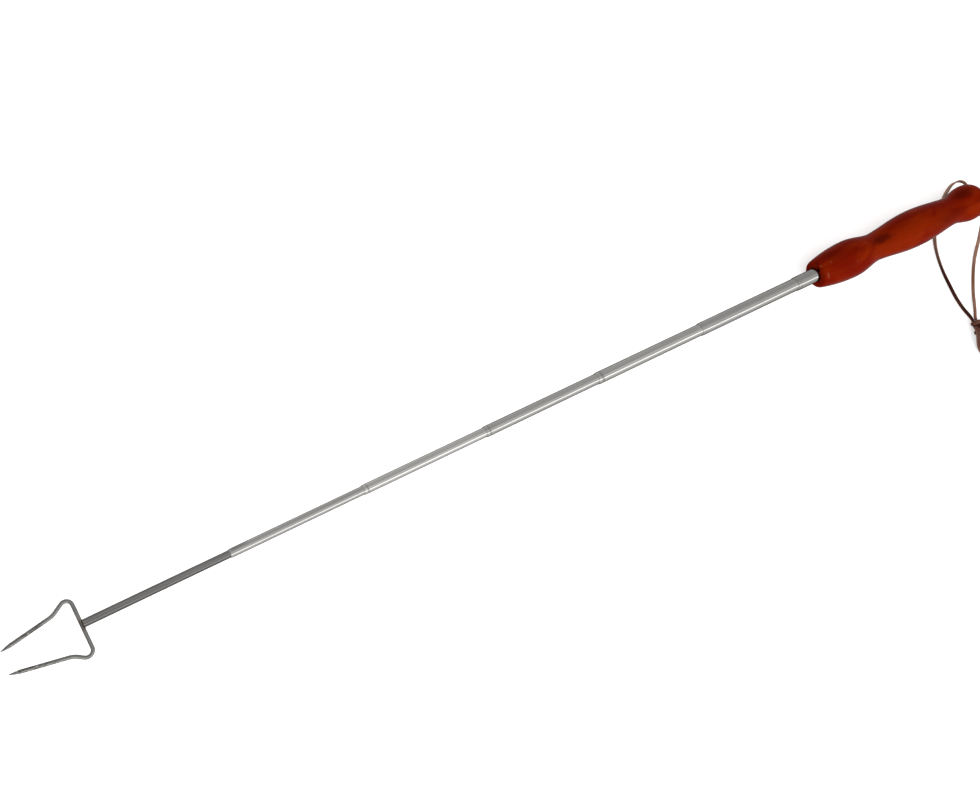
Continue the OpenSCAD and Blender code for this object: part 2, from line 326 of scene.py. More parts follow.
@dataclass(frozen=True)
class LacqueredWood(Finish):
    """Red-brown stained wood under clear lacquer."""

    slot: str = "lacquered_wood"
    key: str = "stained"
    warm: Colour = (0.205, 0.0135, 0.0006)
    red: Colour = (0.16, 0.0058, 0.0004)
    dark: Colour = (0.05, 0.0022, 0.0006)
    # The colour of the painted highlights.
    glint: Colour = (0.42, 0.19, 0.12)
    figure_and_nick_shade: tuple[Mark, ...] = (
        Mark((0.294, 0.003, 0.028), (0.0125, 0.0042, 0.01), 0.75),
        Mark((0.392, 0.0075, 0.026), (0.011, 0.005, 0.01), 0.6),
        Mark((0.367, -0.004, 0.026), (0.022, 0.009, 0.012), 0.3),
        Mark((0.245, 0.008, 0.024), (0.012, 0.006, 0.01), 0.3),
        # Painted shade: a dark spot inside the nick at the socket's mouth.
        Mark((0.2312, 0.0062, 0.0216), (0.0022, 0.0026, 0.0022), 0.8, 0.3),
    )
    # Painted highlights: light spots on three small dents and on the nose's rounded edge.
    dent_glints: tuple[Mark, ...] = (
        Mark((0.2386, 0.0036, 0.0274), (0.0006, 0.0006, 0.001), 0.3, 0.2),
        Mark((0.2302, 0.0042, 0.025), (0.0007, 0.0008, 0.001), 0.2, 0.3),
        Mark((0.2608, -0.0046, 0.0296), (0.0004, 0.0005, 0.001), 0.2, 0.2),
        Mark((0.2325, -0.005, 0.0255), (0.0009, 0.0034, 0.002), 0.16, 0.3),
    )

    def _dress(self, tree: ShaderTree) -> None:
        """Mottled stain, long grain, dark pores, figure in the wood, painted shade in the mouth's nick and
        towards the outline, and painted highlights on small dents and on the nose's edge.
        """
        cloud = tree.noise((26, 60, 60), 2, 0.5, 0.6).ramp(0.38, 0.64)
        grain = tree.noise((14, 330, 330), 4, 0.6, 0.4).ramp(0.3, 0.72)
        pores = tree.noise((110, 2300, 2300), 2, 0.5).ramp(0.6, 0.74)
        stain = tree.mix(cloud, self.red, self.warm)
        stain = tree.mix(grain * 0.2, stain, self.dark)
        stain = tree.mix(pores * 0.2, stain, self.dark)
        # Lays the wood's figure and the painted shade in the nick.
        stain = tree.marked(stain, self.figure_and_nick_shade, self.dark)
        # Lays the painted highlights of the dents and of the nose's edge.
        stain = tree.marked(stain, self.dent_glints, self.glint)
        # Painted shade: the wood darkens towards its outline, where the surface turns away from the view.
        rim_shade = tree.node("ShaderNodeLayerWeight", output="Facing")
        stain = tree.mix(rim_shade.ramp(0.5, 1.0) * 0.7, stain, self.dark)
        peel = tree.noise((420, 420, 420), 2)
        tree.surface(
            Base_Color=stain,
            Roughness=tree.noise((70, 90, 90), 3).ramp(0.3, 0.7, 0.2, 0.28),
            Specular_IOR_Level=0.005,
            Normal=tree.bump(peel + pores * 0.15, 0.00006),
        )


@dataclass(frozen=True)
class DrawnSteel(Finish):
    """Stainless tube, drawn lengthwise to a satin finish."""

    slot: str = "tube_steel"
    key: str = "plain"
    tone: float = 0.29
    warmth: float = 0.05
    streak: float = 0.25
    dullness: float = 0.0
    tarnish_and_side_shade: float = 0.0
    groove_shade_at: tuple[float, ...] = ()
    stains: tuple[Mark, ...] = ()
    rim: float = 0.1

    def _dress(self, tree: ShaderTree) -> None:
        """Long fine draw lines, faint handling marks, stains, small specks, painted shade in the grooves
        and painted shade on the -Y side.
        """
        lines = tree.noise((4, 1500, 1500), 4, 0.65)
        bands = tree.noise((9, 700, 700), 2, 0.5).ramp(0.35, 0.7)
        marks = tree.noise((45, 160, 160), 3, 0.6)
        specks = tree.noise((700, 900, 900), 1).ramp(0.66, 0.74)
        light = (self.tone, self.tone * (1 - 0.4 * self.warmth), self.tone * (1 - self.warmth))
        deep = tuple((0.62 - 0.25 * self.tarnish_and_side_shade) * c for c in light)
        black = tuple(0.22 * c for c in light)
        tone = tree.mix(bands * self.streak + marks.ramp(0.45, 0.8) * 0.2, light, deep)
        # Painted shade: the tube darkens on its -Y side, the side towards the strip lamp; the same share
        # also darkens the streaks.
        side = tree.node("ShaderNodeSeparateXYZ", {}, {0: tree.place()}, 1)
        tone = tree.mix(side.ramp(-0.002, 0.001, self.tarnish_and_side_shade, 0.0), tone, deep)
        tone = tree.marked(tone, self.stains, black)
        # Painted shade: a dark band in each groove behind the mouth.
        for x in self.groove_shade_at:
            near = tree.spot((x, 0, 0), (0.00045, 1, 1))
            tone = tree.mix(near.ramp(0.5, 1.2, 0.4, 0.0), tone, black)
        tree.surface(
            Base_Color=tree.mix(specks * 0.2 + lines.ramp(0.4, 0.8) * 0.2, tone, deep),
            Metallic=1.0,
            Specular_Tint=(self.rim,) * 3,
            Roughness=(lines * 0.03 + marks * 0.04) + 0.02 + self.dullness,
            Normal=tree.bump(lines, 0.000002),
        )


@dataclass(frozen=True)
class ForkSteel(Finish):
    """Bright wire, browned by the weld's heat round a point and scorched along its prongs; on the weld
    bead the dark spot at that point is painted shade.
    """

    slot: str = "fork_steel"
    key: str = "wire"
    heat_scale_and_crevice_shade_at: tuple[float, float, float] = (-0.3695, -0.0005, 0.0152)
    prongs_at: float = -0.388
    tone: Colour = (0.155, 0.153, 0.147)
    bright: Colour = (0.55, 0.53, 0.5)
    soot: Colour = (0.045, 0.038, 0.032)
    straw: Colour = (0.2, 0.155, 0.105)
    rim: float = 0.03

    def _dress(self, tree: ShaderTree) -> None:
        """Draw marks, heat scale round a point, and soot with rubbed bright specks on the prongs; on the
        weld bead the dark spot at that point is painted shade in its crevice.
        """
        marks = tree.noise((260, 260, 260), 4, 0.6)
        fine = tree.noise((2600, 2600, 2600), 2, 0.6)
        near = tree.spot(self.heat_scale_and_crevice_shade_at, (1, 1, 1)) + (marks - 0.5) * 0.004
        along = tree.node("ShaderNodeSeparateXYZ", {}, {0: tree.place()})
        used = along.ramp(self.prongs_at - 0.006, self.prongs_at + 0.004, 1.0, 0.0)
        soot = tree.noise((120, 900, 900), 3, 0.6).ramp(0.4, 0.6) * used
        specks = tree.noise((800, 1000, 1000), 1, 0.4).ramp(0.64, 0.72) * used
        tone = tree.mix(marks.ramp(0.35, 0.75) * 0.35, self.tone, tuple(0.55 * c for c in self.tone))
        tone = tree.mix(soot * 0.75, tone, self.soot)
        # Straw tint and a dark spot round the point: heat scale on the wire, painted shade in the crevice
        # on the weld bead.
        tone = tree.mix(near.ramp(0.003, 0.008, 0.2, 0.0), tone, self.straw)
        tone = tree.mix(near.ramp(0.0022, 0.0046, 0.55, 0.0), tone, self.soot)
        tree.surface(
            Base_Color=tree.mix(specks * 0.7, tone, self.bright),
            Metallic=1.0,
            Specular_Tint=(self.rim,) * 3,
            Roughness=marks.ramp(0.3, 0.7, 0.07, 0.2),
            Normal=tree.bump(fine + marks, 0.00003),
        )


@dataclass(frozen=True)
class BushBrass(Finish):
    """Plain sprung brass."""

    slot: str = "bush_brass"
    key: str = "sprung"
    tone: Colour = (0.72, 0.52, 0.22)

    def _dress(self, tree: ShaderTree) -> None:
        """Brass with faint rubbing marks."""
        marks = tree.noise((900, 200, 200), 3, 0.6)
        tree.surface(
            Base_Color=tree.mix(marks * 0.5, self.tone, tuple(0.6 * c for c in self.tone)),
            Metallic=1.0,
            Roughness=marks.ramp(0.3, 0.7, 0.25, 0.4),
        )


@dataclass(frozen=True)
class LaceLeather(Finish):
    """Flat leather lace: one dyed smooth face, one suede face and raw cut edges.

    The lace's UV map runs along it in u, and round it in v: the dyed face is at v = 0.25,
    the suede face at v = 0.75 and the cut edges at 0 and 0.5.
    """

    slot: str = "lace_leather"
    key: str = "lace"
    dyed: Colour = (0.03, 0.0062, 0.004)
    suede: Colour = (0.17, 0.072, 0.045)
    pale: Colour = (0.42, 0.26, 0.19)
    edge: Colour = (0.34, 0.2, 0.14)
    rubbed_at: tuple[float, float, float] = (0.4, 0.01, 0.01)
    rubbed_reach: tuple[float, float, float] = (0.052, 0.05, 0.05)

    def _dress(self, tree: ShaderTree) -> None:
        """Dyed and suede faces with their own grain, and a rubbed edge between them."""
        uv = tree.node("ShaderNodeUVMap", {"uv_map": "lace"})
        v = tree.node("ShaderNodeSeparateXYZ", {}, {0: uv}, 1)
        under = v.ramp(0.45, 0.55) * v.ramp(0.93, 1.0, 1.0, 0.0)
        rim = abs(v - 0.5)
        cut = rim.ramp(0.02, 0.09, 1.0, 0.0) + rim.ramp(0.41, 0.48)
        nap = tree.noise((2200, 2200, 2200), 3, 0.7)
        wear = tree.noise((60, 60, 60), 3, 0.6)
        pebble = tree.node("ShaderNodeTexVoronoi", {}, {"Vector": tree.place((2600,) * 3), "Scale": 1})
        rubbed = tree.spot(self.rubbed_at, self.rubbed_reach).ramp(0.55, 1.35, 1.0, 0.0)
        suede = tree.mix((wear - 0.5) * 1.2 + rubbed * 0.75 + 0.1, self.suede, self.pale)
        suede = tree.mix(nap.ramp(0.35, 0.75) * 0.3, suede, self.dyed)
        dyed = tree.mix(wear.ramp(0.45, 0.8) * 0.2, self.dyed, self.suede)
        dyed = tree.mix(rubbed * 0.85, dyed, self.pale)
        tone = tree.mix(under, dyed, suede)
        tone = tree.mix(cut * 0.85, tone, self.edge)
        tree.surface(
            Base_Color=tone,
            Roughness=under.ramp(0, 1, 0.42, 0.85),
            Specular_IOR_Level=0.04,
            Normal=tree.bump(nap * under + pebble * (1 - under), 0.00012),
        )


class Modeller:
    """One piece that is modelled by hand, from a primitive to its last modifier."""

    def __init__(self, name: str) -> None:
        """Args:
        name: the piece's name.
        """
        self.name = name
        self.piece: bpy.types.Object | None = None

    @staticmethod
    def only(*objects: bpy.types.Object) -> None:
        """Selects these objects and nothing else.

        Args:
            objects: the pieces, the first of which becomes active.
        """
        bpy.ops.object.select_all(action="DESELECT")
        for one in objects:
            one.select_set(True)
        bpy.context.view_layer.objects.active = objects[0]

    def started(self) -> None:
        """Names the new primitive, puts its place in its mesh and opens it in edit mode."""
        self.piece = bpy.context.active_object
        self.piece.name = self.name
        self.piece.data.name = self.name
        self.only(self.piece)
        bpy.ops.object.transform_apply(location=True, rotation=True, scale=True)
        bpy.ops.object.mode_set(mode="EDIT")
        bpy.ops.mesh.select_all(action="SELECT")

    def modifier(self, kind: str, **settings: Any) -> None:
        """Adds a modifier and applies it.

        Args:
            kind: the modifier's type.
            settings: its settings.
        """
        self.only(self.piece)
        bpy.ops.object.modifier_add(type=kind)
        made = self.piece.modifiers[-1]
        for name, value in settings.items():
            setattr(made, name, value)
        bpy.ops.object.modifier_apply(modifier=made.name)

    def cut(self, bit: "Modeller") -> None:
        """Takes a bit's shape out of the piece.

        Args:
            bit: the closed bit, which is used up.
        """
        self.modifier("BOOLEAN", object=bit.piece, operation="DIFFERENCE", solver="EXACT")
        bpy.data.objects.remove(bit.piece)

    def subdivide(self, levels: int) -> None:
        """Smooths the piece with a Subdivision Surface.

        Args:
            levels: how many times each face is split.
        """
        self.modifier("SUBSURF", levels=levels, render_levels=levels)

    def smooth(self, angle: float = 35) -> None:
        """Shades smooth across edges that turn less than the angle.

        Args:
            angle: the sharpest smooth edge, in degrees.
        """
        self.only(self.piece)
        bpy.ops.object.shade_smooth_by_angle(angle=math.radians(angle))

    def finish(self, body: str, finish: Finish, *nodes: str) -> bpy.types.Object:
        """Dresses the piece and puts it in the place of CAD nodes.

        Args:
            body: the body it rides on.
            finish: what it is made of.
            nodes: the CAD nodes that it stands for.

        Returns:
            The finished piece.
        """
        self.piece.data.materials.clear()
        self.piece.data.materials.append(finish.material())
        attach(self.piece, body)
        if nodes:
            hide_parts(*nodes)
        return self.piece


class RingModeller(Modeller):
    """A round piece drawn from one circle, whose last ring is extruded, resized and spun."""

    def __init__(
        self, name: str, start: Vector, heading: Vector, radius: float, sides: int
    ) -> None:
        """Args:
        name: the piece's name.
        start: the middle of the first ring.
        heading: the way the piece grows.
        radius: the first ring's radius.
        sides: how many sides each ring has.
        """
        super().__init__(name)
        self.at = start.copy()
        self.heading = heading.normalized()
        self.radius = radius
        turn = Z_AXIS.rotation_difference(self.heading).to_euler()
        bpy.ops.object.select_all(action="DESELECT")
        bpy.ops.mesh.primitive_circle_add(
            vertices=sides, radius=radius, fill_type="NOTHING", location=start, rotation=turn
        )
        self.started()

    def resize(self, radius: float) -> None:
        """Resizes the last ring.

        Args:
            radius: its new radius.
        """
        by = radius / self.radius
        bpy.ops.transform.resize(value=(by, by, by), center_override=self.at)
        self.radius = radius

    def grow(self, length: float, radius: float | None = None) -> None:
        """Extrudes the last ring straight on, back where the length is negative.

        Args:
            length: how far.
            radius: the new ring's radius, the same if None.
        """
        step = self.heading * length
        bpy.ops.mesh.extrude_region_move(TRANSFORM_OT_translate={"value": step})
        self.at += step
        if radius is not None and abs(radius - self.radius) > 1e-7:
            self.resize(radius)

    def bend(self, radius: float, turn: float, steps: int) -> None:
        """Spins the last ring round a bend in the ground's plane.

        Args:
            radius: the bend's radius.
            turn: how far it turns, in degrees, to the left if positive.
            steps: how many rings the bend has.
        """
        side = math.copysign(1, turn)
        centre = self.at + side * radius * Z_AXIS.cross(self.heading)
        angle = math.radians(turn)
        bpy.ops.mesh.spin(steps=steps, angle=-angle, center=centre, axis=Z_AXIS)
        swing = Matrix.Rotation(angle, 3, "Z")
        self.at = centre + swing @ (self.at - centre)
        self.heading = swing @ self.heading

    def close(self) -> None:
        """Fills the last ring."""
        bpy.ops.mesh.edge_face_add()

    def done(self, merge: float = 1e-6) -> None:
        """Merges doubles, points the faces outwards and leaves edit mode.

        Args:
            merge: how near two points are to be one.
        """
        bpy.ops.mesh.select_all(action="SELECT")
        bpy.ops.mesh.remove_doubles(threshold=merge)
        bpy.ops.mesh.normals_make_consistent(inside=False)
        bpy.ops.object.mode_set(mode="OBJECT")

    def join_ends(self) -> None:
        """Bridges the last ring to the first, which closes a shell with a wall."""
        bpy.ops.mesh.select_all(action="DESELECT")
        bpy.ops.mesh.select_non_manifold()
        bpy.ops.mesh.bridge_edge_loops()


def raised_cosine(share: float, fullness: float) -> float:
    """Args:
        share: how far along the rise, from 0 to 1.
        fullness: below 1, the rise is fuller near its top.

    Returns:
        The height of the rise, from 0 to 1.
    """
    return ((1 - math.cos(math.pi * share)) / 2) ** fullness


@dataclass
class Handle:
    """The turned wooden grip: a flat nose, two swells, two waists and a ball."""

    body: str = "handle"
    finish: Finish = field(default_factory=LacqueredWood)
    face_radius: float = 11.2 * MM
    face_edge: float = 2.2 * MM
    front_swell: tuple[float, float] = (36 * MM, 15.2 * MM)
    front_waist: tuple[float, float] = (63 * MM, 11.3 * MM)
    palm_swell: tuple[float, float] = (108 * MM, 15.2 * MM)
    rear_waist: tuple[float, float] = (150 * MM, 11.7 * MM)
    ball_radius: float = 15.1 * MM
    ball_end: float = 16.5 * MM
    ball_power: float = 2.2
    mouth_ease: tuple[float, float] = (1.0 * MM, 0.2 * MM)
    nick_at: tuple[float, float, float] = (0.4 * MM, 2.8 * MM, 6.2 * MM)
    nick_size: tuple[float, float, float] = (2.8 * MM, 2.2 * MM, 1.7 * MM)
    hole_radius: float = 2 * MM
    hole_from_butt: float = 7 * MM
    hold: float = 1.5 * MM
    butt_flat: float = 0.6 * MM
    edge_steps: int = 4
    steps: int = 12
    sides: int = 48

    def __post_init__(self) -> None:
        """Takes the grip's place and its socket's size from the frame."""
        low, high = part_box("handle_grip")
        self.axis = (low.z + high.z) / 2
        self.face_x = low.x
        self.length = high.x - low.x
        tube_low, tube_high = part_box("outer_tube")
        self.tube_radius = (tube_high.z - tube_low.z) / 2
        self.socket_end = tube_high.x - low.x

    def _rise(
        self, start: tuple[float, float], end: tuple[float, float], fullness: float
    ) -> Iterable[tuple[float, float]]:
        """Stations between a swell and a waist.

        Args:
            start: (distance from the face, radius) where the stretch begins.
            end: the same where it ends.
            fullness: how full the swell is.

        Returns:
            (distance, radius) of each station but the last.
        """
        low, high = sorted((start, end), key=lambda one: one[1])
        for i in range(self.steps):
            along = start[0] + (end[0] - start[0]) * i / self.steps
            share = (along - low[0]) / (high[0] - low[0])
            yield along, low[1] + (high[1] - low[1]) * raised_cosine(share, fullness)

    def stations(self) -> list[tuple[float, float]]:
        """The whole outline from the eased front edge to the butt.

        Returns:
            (distance from the face, radius) of each ring.
        """
        found = []
        for i in range(self.edge_steps + 1):
            angle = math.pi / 2 * i / self.edge_steps
            found.append(
                (
                    self.face_edge * (1 - math.cos(angle)),
                    self.face_radius - self.face_edge * (1 - math.sin(angle)),
                )
            )
        swell_at, swell_radius = self.front_swell
        for i in range(1, self.steps):
            share = i / self.steps
            rise = math.sin(math.pi / 2 * share) ** 0.85
            found.append(
                (
                    self.face_edge + (swell_at - self.face_edge) * share,
                    self.face_radius + (swell_radius - self.face_radius) * rise,
                )
            )
        ball = (self.length - self.ball_end, self.ball_radius)
        found += self._rise(self.front_swell, self.front_waist, 0.85)
        found += self._rise(self.front_waist, self.palm_swell, 0.75)
        found += self._rise(self.palm_swell, self.rear_waist, 0.65)
        found += self._rise(self.rear_waist, ball, 1.05)
        for i in range(self.steps):
            angle = math.pi / 2 * i / self.steps
            power = 2 / self.ball_power
            found.append(
                (
                    ball[0] + self.ball_end * math.sin(angle) ** power,
                    self.ball_radius * math.cos(angle) ** power,
                )
            )
        return found

    def build(self) -> None:
        """Turns the grip round its socket, closes the butt, drills the ball and chips the mouth."""
        ease_length, ease_width = self.mouth_ease
        start = Vector((self.face_x + self.socket_end, 0, self.axis))
        grip = RingModeller("wooden_grip", start, -X_AXIS, self.tube_radius - self.hold, self.sides)
        grip.grow(0, self.tube_radius)
        grip.grow(self.hold)
        grip.grow(self.socket_end - ease_length - 2 * self.hold)
        grip.grow(self.hold)
        grip.grow(ease_length / 2, self.tube_radius + 0.25 * ease_width)
        grip.grow(ease_length / 2, self.tube_radius + ease_width)
        grip.grow(0, self.tube_radius + ease_width + 0.7 * MM)
        outline = self.stations()
        grip.grow(0, outline[0][1])
        reached = 0.0
        for along, radius in outline[1:]:
            grip.grow(reached - along, radius)
            reached = along
        grip.grow(reached - self.length, self.butt_flat)
        grip.close()
        bpy.ops.mesh.select_all(action="DESELECT")
        bpy.ops.mesh.select_non_manifold()
        bpy.ops.mesh.edge_face_add()
        grip.done()
        grip.subdivide(2)
        self._drill(grip)
        self._nick(grip)
        grip.smooth(50)
        grip.finish(self.body, self.finish, "handle_grip")

    def _drill(self, grip: RingModeller) -> None:
        """Cuts the lace's hole through the ball.

        Args:
            grip: the closed grip.
        """
        at = Vector((self.face_x + self.length - self.hole_from_butt, 0, self.axis))
        reach = 2 * self.ball_radius
        bit = RingModeller("bit", at - reach * Y_AXIS, Y_AXIS, self.hole_radius, 32)
        bit.close()
        bit.grow(2 * reach)
        bit.done()
        grip.cut(bit)

    def _nick(self, grip: RingModeller) -> None:
        """Breaks a small piece out of the socket's mouth.

        Args:
            grip: the closed grip.
        """
        x, y, z = self.nick_at
        bit = Modeller("nick_bit")
        bpy.ops.object.select_all(action="DESELECT")
        bpy.ops.mesh.primitive_ico_sphere_add(
            subdivisions=3, radius=1, location=(self.face_x + x, y, self.axis + z)
        )
        bpy.context.active_object.scale = self.nick_size
        bit.started()
        bpy.ops.object.mode_set(mode="OBJECT")
        grip.cut(bit)


@dataclass(frozen=True)
class RingPlan:
    """The grooves behind a rolled mouth, each as (distance from the mouth, width, depth)."""

    grooves: tuple[tuple[float, float, float], ...] = ()


class MouthRing(Enum):
    """How the ring behind a rolled mouth looks."""

    PLAIN = RingPlan()
    FAINT = RingPlan(((3.3 * MM, 0.8 * MM, 0.07 * MM),))
    SINGLE = RingPlan(((2.9 * MM, 0.7 * MM, 0.2 * MM),))
    DOUBLE = RingPlan(((2.8 * MM, 0.6 * MM, 0.16 * MM), (3.9 * MM, 0.6 * MM, 0.16 * MM)))


@dataclass
class Tube:
    """One drawn tube, with its rolled-in mouth."""

    node: str
    body: str
    inner: str | None
    ring: MouthRing
    finish: Finish
    wall: float = 0.3 * MM
    neck: float = 2.4 * MM
    guide: float = 1.2 * MM
    lip: float = 0.12 * MM
    gap: float = 0.05 * MM
    burr: float = 0.05 * MM
    turns: int = 6
    sides: int = 64

    def __post_init__(self) -> None:
        """Takes the tube's place from the frame."""
        low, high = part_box(self.node)
        self.start = Vector((low.x, 0, (low.z + high.z) / 2))
        self.length = high.x - low.x
        self.radius = (high.z - low.z) / 2
        self.bore = self.radius - self.wall

    def _mouth(self) -> list[tuple[float, float]]:
        """The mouth's outside, from the ring back to the lip and in.

        Returns:
            (distance from the mouth, radius) of each ring, to the bore behind the guide.
        """
        if self.inner is None:
            return [(self.burr, self.radius), (0, self.radius - self.burr), (0, self.bore)]
        low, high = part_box(self.inner)
        guide_radius = (high.z - low.z) / 2 + self.gap
        lip_radius = guide_radius + self.lip
        found = []
        for at, width, depth in reversed(self.ring.value.grooves):
            found += [
                (at + width / 2, self.radius),
                (at + width / 5, self.radius - depth),
                (at - width / 5, self.radius - depth),
                (at - width / 2, self.radius),
            ]
        for i in range(self.turns, -1, -1):
            angle = math.pi / 2 * i / self.turns
            along = self.neck * (1 - math.cos(angle))
            found.append((along, lip_radius + (self.radius - lip_radius) * math.sin(angle)))
        return found + [(0, guide_radius), (self.guide, guide_radius), (self.neck, self.bore)]

    def build(self) -> None:
        """Draws the tube's outside from its inner end to the mouth, then its bore back again."""
        end = self.start + self.length * X_AXIS
        tube = RingModeller(self.node + "_drawn", end, -X_AXIS, self.radius, self.sides)
        reached = self.length
        for along, radius in self._mouth():
            tube.grow(reached - along, radius)
            reached = along
        tube.grow(reached - self.length)
        tube.join_ends()
        tube.done()
        tube.smooth(30)
        tube.finish(self.body, self.finish, self.node)


@dataclass(frozen=True)
class TubeLook:
    """How one tube differs from the others."""

    ring: MouthRing
    tone: float
    groove_shaded: bool = False
    dullness: float = 0.0
    tarnish_and_side_shade: float = 0.0
    stains: tuple[Mark, ...] = ()


@dataclass
class Stick:
    """The seven tubes, from the one in the handle to the one that carries the fork."""

    looks: Sequence[TubeLook] = (
        TubeLook(MouthRing.FAINT, 0.235),
        TubeLook(MouthRing.FAINT, 0.265),
        TubeLook(MouthRing.DOUBLE, 0.3, groove_shaded=True),
        TubeLook(MouthRing.SINGLE, 0.295, groove_shaded=True),
        TubeLook(MouthRing.SINGLE, 0.34, groove_shaded=True),
        TubeLook(
            MouthRing.PLAIN,
            0.29,
            stains=(Mark((-0.2665, 0.0022, 0.017), (0.0075, 0.0014, 0.003), 0.55),),
        ),
        # The fork tube: darker streaks, and painted shade on its -Y side.
        TubeLook(MouthRing.FAINT, 0.18, dullness=0.16, tarnish_and_side_shade=0.85),
    )

    def build(self) -> None:
        """Draws each tube in its own tone of steel."""
        last = len(self.looks) - 1
        for number, look in enumerate(self.looks):
            node = f"sliding_tube_{number}" if number else "outer_tube"
            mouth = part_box(node)[0].x
            # Only these tubes get painted shade in their grooves.
            grooves = look.ring.value.grooves if look.groove_shaded else ()
            Tube(
                node,
                {0: "handle", last: "fork"}.get(number, f"section_{number}"),
                None if number == last else f"sliding_tube_{number + 1}",
                look.ring,
                DrawnSteel(
                    key=str(number),
                    tone=look.tone,
                    streak=0.25 + 0.6 * look.tarnish_and_side_shade,
                    dullness=look.dullness,
                    tarnish_and_side_shade=look.tarnish_and_side_shade,
                    groove_shade_at=tuple(mouth + at for at, _, _ in grooves),
                    stains=look.stains,
                ),
            ).build()


@dataclass
class WireHalf:
    """One half of the fork, from the middle of the crossbar to its point."""

    bar: float
    shoulder_radius: float
    shoulder_turn: float
    run: float
    knee_radius: float
    knee_turn: float
    prong: float


@dataclass
class Fork:
    """The bent wire, ground at its points, and the weld that holds it."""

    body: str = "fork"
    finish: Finish = field(default_factory=ForkSteel)
    weld_finish: Finish = field(
        default_factory=lambda: ForkSteel(
            # On the bead, the dark spot is painted shade in the crevice where the crossbar meets the
            # tube's upper side.
            key="weld", heat_scale_and_crevice_shade_at=(-0.3692, 0.0022, 0.0168), tone=(0.3, 0.29, 0.27), prongs_at=1.0
        )
    )
    wire: float = 2.5 * MM
    point: float = 6.6 * MM
    tip: float = 0.3 * MM
    middle: Vector = field(default_factory=lambda: Vector((-369.6 * MM, -1.2 * MM, 15.2 * MM)))
    left: WireHalf = field(
        default_factory=lambda: WireHalf(14 * MM, 3.8 * MM, 121, 6.2 * MM, 12 * MM, 21, 25.9 * MM)
    )
    right: WireHalf = field(
        default_factory=lambda: WireHalf(13.7 * MM, 4.2 * MM, 124, 3.6 * MM, 12 * MM, 23.6, 28.3 * MM)
    )
    sides: int = 24

    def _half(self, name: str, half: WireHalf, side: int) -> RingModeller:
        """Draws one half of the wire.

        Args:
            name: the piece's name.
            half: its straights and bends.
            side: 1 for the half at +Y, -1 for the one at -Y.

        Returns:
            The open half.
        """
        wire = RingModeller(name, self.middle, side * Y_AXIS, self.wire / 2, self.sides)
        wire.grow(half.bar / 2)
        wire.grow(half.bar / 2)
        wire.bend(half.shoulder_radius, side * half.shoulder_turn, 18)
        wire.grow(half.run)
        wire.bend(half.knee_radius, -side * half.knee_turn, 8)
        for _ in range(3):
            wire.grow(half.prong / 3)
        wire.grow(0.25 * self.point, 0.42 * self.wire)
        wire.grow(0.5 * self.point, 0.2 * self.wire)
        wire.grow(0.25 * self.point, self.tip / 2)
        wire.close()
        wire.done()
        return wire

    def build(self) -> None:
        """Joins the two halves, then adds the weld."""
        left = self._half("fork_wire_bent", self.left, 1)
        right = self._half("fork_half", self.right, -1)
        left.only(left.piece, right.piece)
        bpy.ops.object.join()
        bpy.ops.object.mode_set(mode="EDIT")
        left.done(2e-5)
        left.smooth(40)
        left.finish(self.body, self.finish, "fork_wire")
        self._weld()

    def _weld(self) -> None:
        """A lumpy bead round the end of the tube and over the crossbar."""
        low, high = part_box("fork_weld")
        middle = (low + high) / 2
        weld = Modeller("weld_bead")
        bpy.ops.object.select_all(action="DESELECT")
        bpy.ops.mesh.primitive_ico_sphere_add(subdivisions=5, radius=0.5, location=middle)
        bpy.context.active_object.scale = high - low
        weld.started()
        bpy.ops.object.mode_set(mode="OBJECT")
        for point in weld.piece.data.vertices:
            lump = noise.noise(point.co * 620) + 0.5 * noise.noise(point.co * 1500)
            point.co = middle + (point.co - middle) * (0.92 + 0.2 * lump)
        weld.smooth(60)
        weld.finish(self.body, self.weld_finish, "fork_weld")


@dataclass(frozen=True)
class LaceFrame:
    """Where the lace is at one place on its way, and which ways its width and its dyed face point."""

    at: Vector
    across: Vector
    out: Vector


@dataclass
class LaceStrip:
    """A flat strip of leather with eased edges, swept through frames."""

    name: str
    width: float = 3 * MM
    thickness: float = 1.4 * MM
    edge: float = 0.3 * MM

    def section(self) -> list[tuple[float, float, float]]:
        """The lace's cross section.

        Returns:
            (across, out, v) of each corner, where v goes round the lace.
        """
        w, t, e = self.width / 2, self.thickness / 2, self.edge
        crown = 0.04 * MM
        return [
            (w, 0, 0.0),
            (w - 0.3 * e, t - e, 0.06),
            (w - e, t - crown, 0.1),
            (w / 3, t, 0.2),
            (-w / 3, t, 0.3),
            (e - w, t - crown, 0.4),
            (0.3 * e - w, t - e, 0.44),
            (-w, 0, 0.5),
            (0.3 * e - w, e - t, 0.56),
            (e - w, crown - t, 0.6),
            (-w / 3, -t, 0.7),
            (w / 3, -t, 0.8),
            (w - e, crown - t, 0.9),
            (w - 0.3 * e, e - t, 0.94),
        ]

    def sweep(self, frames: Sequence[LaceFrame]) -> bpy.types.Object:
        """Sweeps the cross section.

        Args:
            frames: the lace's way.

        Returns:
            The strip.
        """
        section = self.section()
        count = len(section)
        mesh = bmesh.new()
        uv = mesh.loops.layers.uv.new("lace")
        rings = [
            [mesh.verts.new(frame.at + frame.across * a + frame.out * t) for a, t, _ in section]
            for frame in frames
        ]
        for i in range(len(rings) - 1):
            for j in range(count):
                k = (j + 1) % count
                face = mesh.faces.new((rings[i][j], rings[i][k], rings[i + 1][k], rings[i + 1][j]))
                first, second = section[j][2], section[k][2] or 1.0
                places = ((i, first), (i, second), (i + 1, second), (i + 1, first))
                for loop, (u, v) in zip(face.loops, places):
                    loop[uv].uv = (u / len(rings), v)
        mesh.faces.new(list(reversed(rings[0])))
        mesh.faces.new(rings[-1])
        bmesh.ops.recalc_face_normals(mesh, faces=mesh.faces)
        data = bpy.data.meshes.new(self.name)
        mesh.to_mesh(data)
        mesh.free()
        piece = bpy.data.objects.new(self.name, data)
        bpy.context.scene.collection.objects.link(piece)
        return piece


